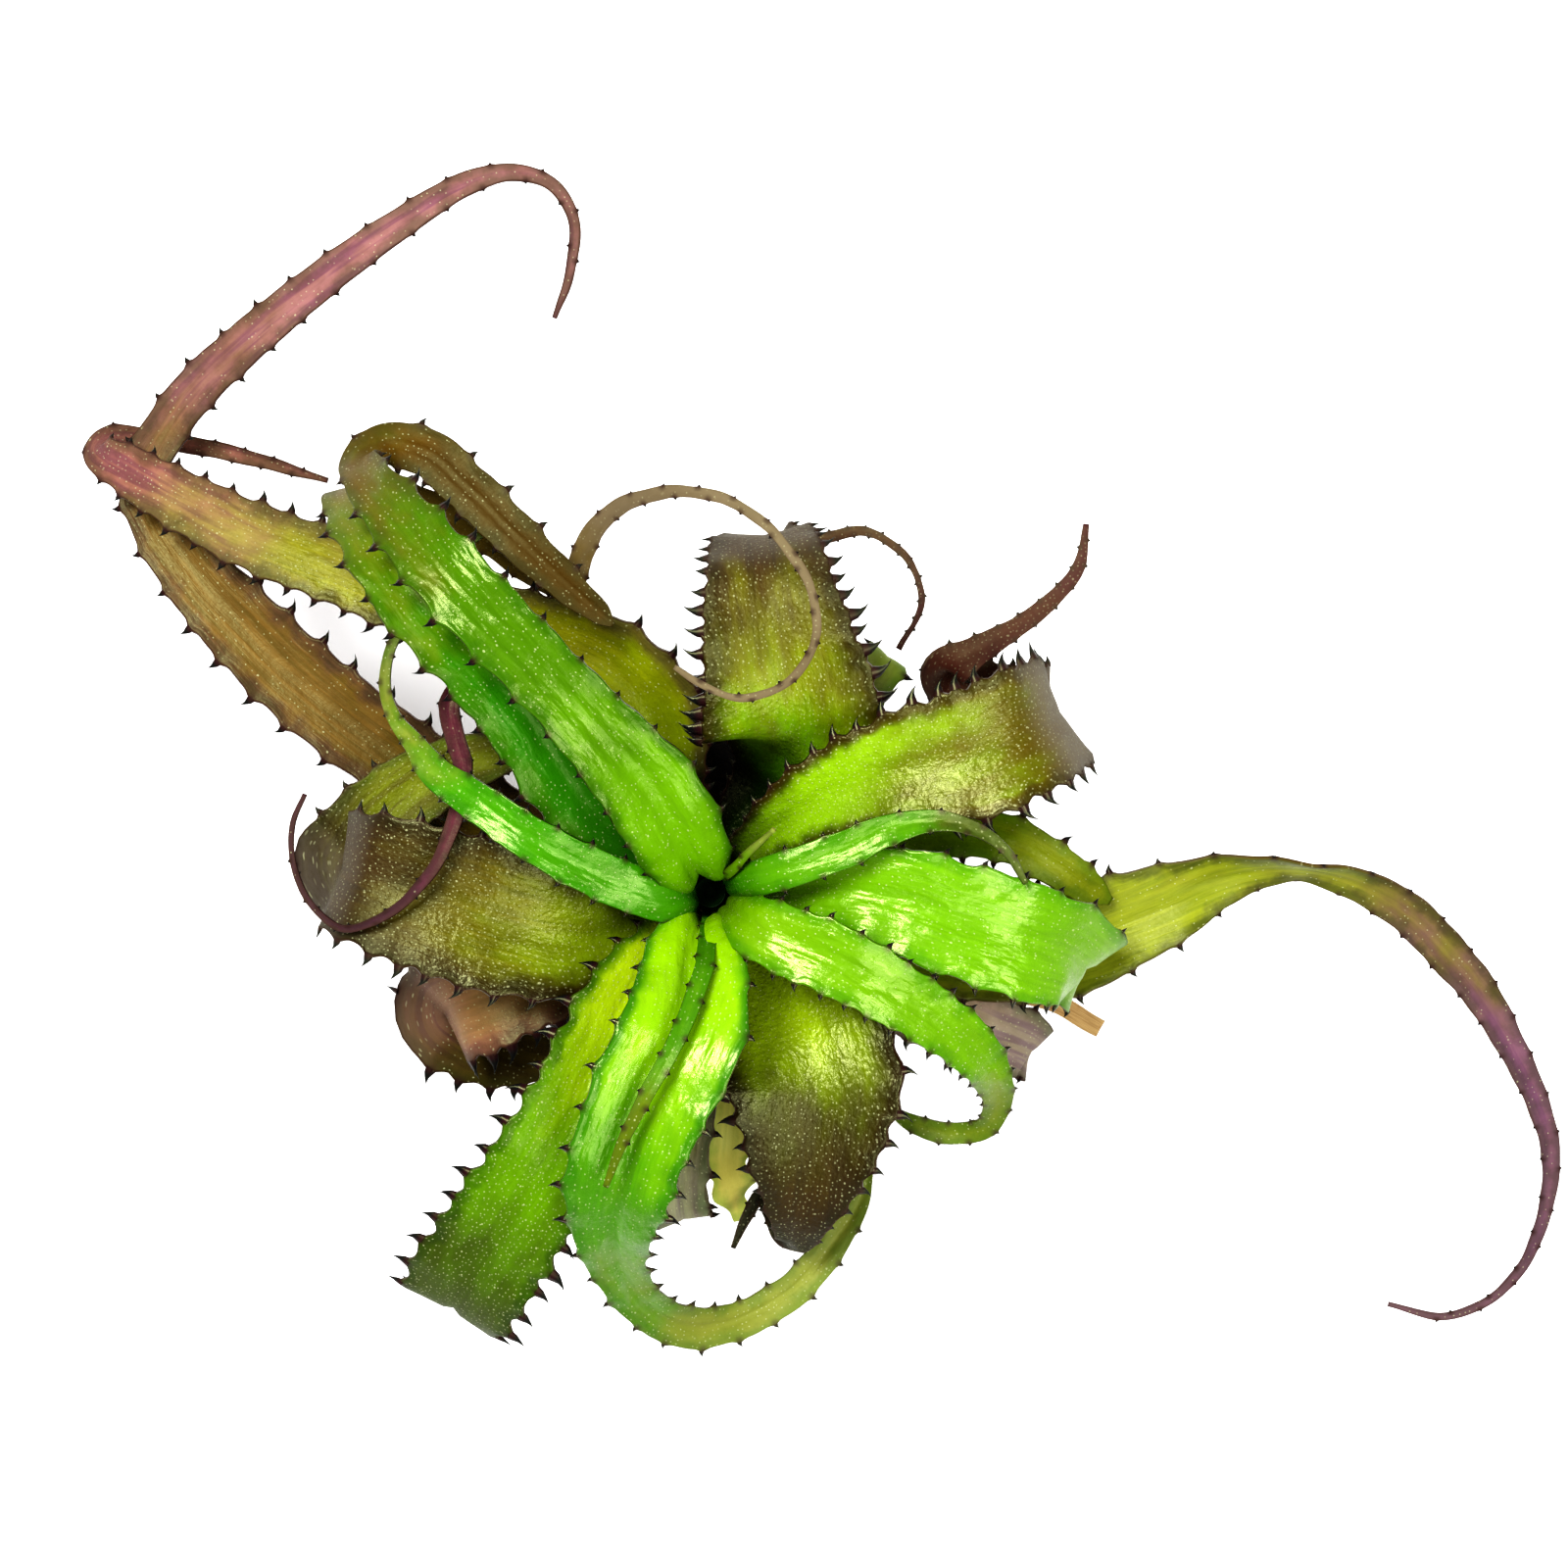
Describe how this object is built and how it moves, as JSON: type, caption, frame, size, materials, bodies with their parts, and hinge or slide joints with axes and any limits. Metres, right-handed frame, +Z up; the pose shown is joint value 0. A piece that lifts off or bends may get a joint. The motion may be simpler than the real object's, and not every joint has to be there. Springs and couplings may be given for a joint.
{
  "type": "neoregelia pendula",
  "caption": "Bromeliad rosette of spiny strap leaves that arch over and trail in long thin tails, growing in a small plain nursery pot.",
  "frame": {"origin": "middle of the pot's flat foot, on the surface it stands on", "axes": "+Z up out of the pot; +X and +Y are the right and the top of the plant as seen from straight above"},
  "size_m": [0.3132, 0.2479, 0.1379],
  "materials": {
    "pot": "matte black",
    "mix": "damp dark bark mix",
    "stem": "matt",
    "bright_leaf": "glossy bright green with white flecks",
    "green_leaf": "glossy green with white flecks",
    "olive_leaf": "glossy olive with white flecks",
    "brown_leaf": "satin brown to purple",
    "purple_leaf": "satin purple",
    "yellow_leaf": "matt yellow",
    "dry_leaf": "matt tan"
  },
  "bodies": {
    "root": {"pot": "pot", "potting_mix": "mix", "stem": "stem", "leaf_01": "bright_leaf", "leaf_02": "bright_leaf", "leaf_03": "bright_leaf", "leaf_04": "bright_leaf", "leaf_05": "bright_leaf", "leaf_06": "bright_leaf", "leaf_07": "bright_leaf", "leaf_08": "bright_leaf", "leaf_09": "green_leaf", "leaf_10": "green_leaf", "leaf_16": "green_leaf", "leaf_22": "green_leaf", "leaf_12": "olive_leaf", "leaf_13": "olive_leaf", "leaf_14": "olive_leaf", "leaf_15": "olive_leaf", "leaf_17": "olive_leaf", "leaf_18": "brown_leaf", "leaf_19": "brown_leaf", "leaf_20": "brown_leaf", "leaf_21": "brown_leaf", "leaf_24": "brown_leaf", "leaf_11": "purple_leaf", "leaf_23": "yellow_leaf", "dry_leaf": "dry_leaf"}
  },
  "joints": []
}
